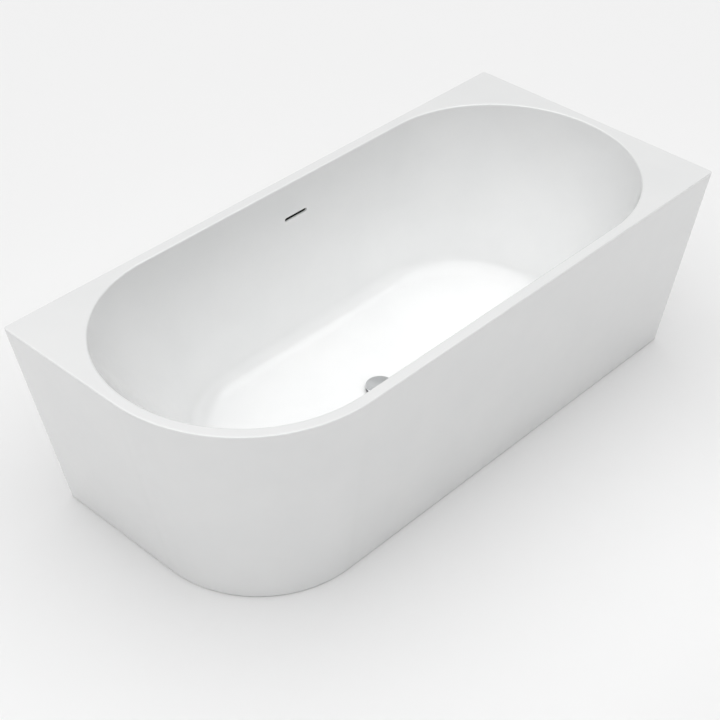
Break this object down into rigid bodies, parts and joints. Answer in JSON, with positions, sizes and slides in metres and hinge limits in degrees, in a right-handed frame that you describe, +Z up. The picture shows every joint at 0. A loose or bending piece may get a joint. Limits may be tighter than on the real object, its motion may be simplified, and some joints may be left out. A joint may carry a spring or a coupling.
{
  "type": "freestanding bathtub",
  "caption": "White acrylic corner bathtub with a flat rim, oval basin, leaning panel with a large round corner, pop-up waste, slot overflow and screw feet.",
  "frame": {"origin": "on the floor, under the middle of the rim's outline", "axes": "+X along the bath to the upright right end, +Y to the upright back side, +Z up"},
  "size_m": [1.7, 0.78, 0.6],
  "materials": {
    "acrylic": "white sanitary acrylic, polished to a soft gloss",
    "plywood": "sawn birch plywood, unpainted",
    "frame_steel": "light grey powder coat over square steel tube",
    "zinc_steel": "bright zinc-plated fastener steel",
    "chrome": "polished chrome on brass",
    "brass": "turned brass, unplated",
    "rubber": "black moulded rubber",
    "white_pipe": "white moulded polypropylene, satin",
    "grey_hose": "grey flexible overflow hose",
    "black_plastic": "black moulded plastic, fine texture"
  },
  "bodies": {
    "root": {"basin": "acrylic", "skirt": "acrylic", "corner_blocks": "plywood", "floor_board": "plywood", "frame_rail_front": "frame_steel", "frame_rail_rear": "frame_steel", "cross_member_left": "frame_steel", "cross_member_centre": "frame_steel", "cross_member_right": "frame_steel", "tube_end_caps": "black_plastic", "fixing_tabs": "frame_steel", "board_screws": "zinc_steel", "weld_nuts": "zinc_steel", "lock_nuts": "zinc_steel", "drain_flange": "chrome", "drain_washer": "rubber", "drain_gasket": "rubber", "plug_cartridge": "brass", "waste_body": "white_pipe", "trap_body": "white_pipe", "trap_cup": "white_pipe", "trap_nuts": "white_pipe", "outlet_pipe": "white_pipe", "overflow_box": "black_plastic", "overflow_gasket": "rubber", "overflow_hose": "grey_hose", "hose_clamp_upper": "black_plastic", "hose_clamp_lower": "black_plastic"},
    "plug": {"plug_cap": "chrome", "plug_seal": "rubber", "plug_stem": "brass"},
    "foot_1": {"foot_pad_1": "black_plastic"},
    "stud_1": {"foot_stud_1": "zinc_steel"},
    "foot_2": {"foot_pad_2": "black_plastic"},
    "stud_2": {"foot_stud_2": "zinc_steel"},
    "foot_3": {"foot_pad_3": "black_plastic"},
    "stud_3": {"foot_stud_3": "zinc_steel"},
    "foot_4": {"foot_pad_4": "black_plastic"},
    "stud_4": {"foot_stud_4": "zinc_steel"},
    "foot_5": {"foot_pad_5": "black_plastic"},
    "stud_5": {"foot_stud_5": "zinc_steel"},
    "foot_6": {"foot_pad_6": "black_plastic"},
    "stud_6": {"foot_stud_6": "zinc_steel"}
  },
  "joints": [
    {"name": "plug_press", "type": "slide", "parent": "root", "child": "plug", "axis": [0, 0, -1], "range_m": [0, 0.0065]},
    {"name": "foot_1_height", "type": "slide", "parent": "root", "child": "foot_1", "axis": [0, 0, -1], "range_m": [0, 0.0175]},
    {"name": "foot_1_turn", "type": "hinge", "parent": "foot_1", "child": "stud_1", "pos_m": [-0.42, -0.19, 0.05], "axis": [0, 0, -1], "range_deg": [0, 3601]},
    {"name": "foot_2_height", "type": "slide", "parent": "root", "child": "foot_2", "axis": [0, 0, -1], "range_m": [0, 0.0175]},
    {"name": "foot_2_turn", "type": "hinge", "parent": "foot_2", "child": "stud_2", "pos_m": [-0.42, 0.23, 0.05], "axis": [0, 0, -1], "range_deg": [0, 3601]},
    {"name": "foot_3_height", "type": "slide", "parent": "root", "child": "foot_3", "axis": [0, 0, -1], "range_m": [0, 0.0175]},
    {"name": "foot_3_turn", "type": "hinge", "parent": "foot_3", "child": "stud_3", "pos_m": [0.12, -0.19, 0.05], "axis": [0, 0, -1], "range_deg": [0, 3601]},
    {"name": "foot_4_height", "type": "slide", "parent": "root", "child": "foot_4", "axis": [0, 0, -1], "range_m": [0, 0.0175]},
    {"name": "foot_4_turn", "type": "hinge", "parent": "foot_4", "child": "stud_4", "pos_m": [0.12, 0.23, 0.05], "axis": [0, 0, -1], "range_deg": [0, 3601]},
    {"name": "foot_5_height", "type": "slide", "parent": "root", "child": "foot_5", "axis": [0, 0, -1], "range_m": [0, 0.0175]},
    {"name": "foot_5_turn", "type": "hinge", "parent": "foot_5", "child": "stud_5", "pos_m": [0.6, -0.19, 0.05], "axis": [0, 0, -1], "range_deg": [0, 3601]},
    {"name": "foot_6_height", "type": "slide", "parent": "root", "child": "foot_6", "axis": [0, 0, -1], "range_m": [0, 0.0175]},
    {"name": "foot_6_turn", "type": "hinge", "parent": "foot_6", "child": "stud_6", "pos_m": [0.6, 0.23, 0.05], "axis": [0, 0, -1], "range_deg": [0, 3601]}
  ],
  "couplings": [
    {"joint": "foot_1_turn", "follows": "foot_1_height", "rad_per_m": 3590.4},
    {"joint": "foot_2_turn", "follows": "foot_2_height", "rad_per_m": 3590.4},
    {"joint": "foot_3_turn", "follows": "foot_3_height", "rad_per_m": 3590.4},
    {"joint": "foot_4_turn", "follows": "foot_4_height", "rad_per_m": 3590.4},
    {"joint": "foot_5_turn", "follows": "foot_5_height", "rad_per_m": 3590.4},
    {"joint": "foot_6_turn", "follows": "foot_6_height", "rad_per_m": 3590.4}
  ]
}
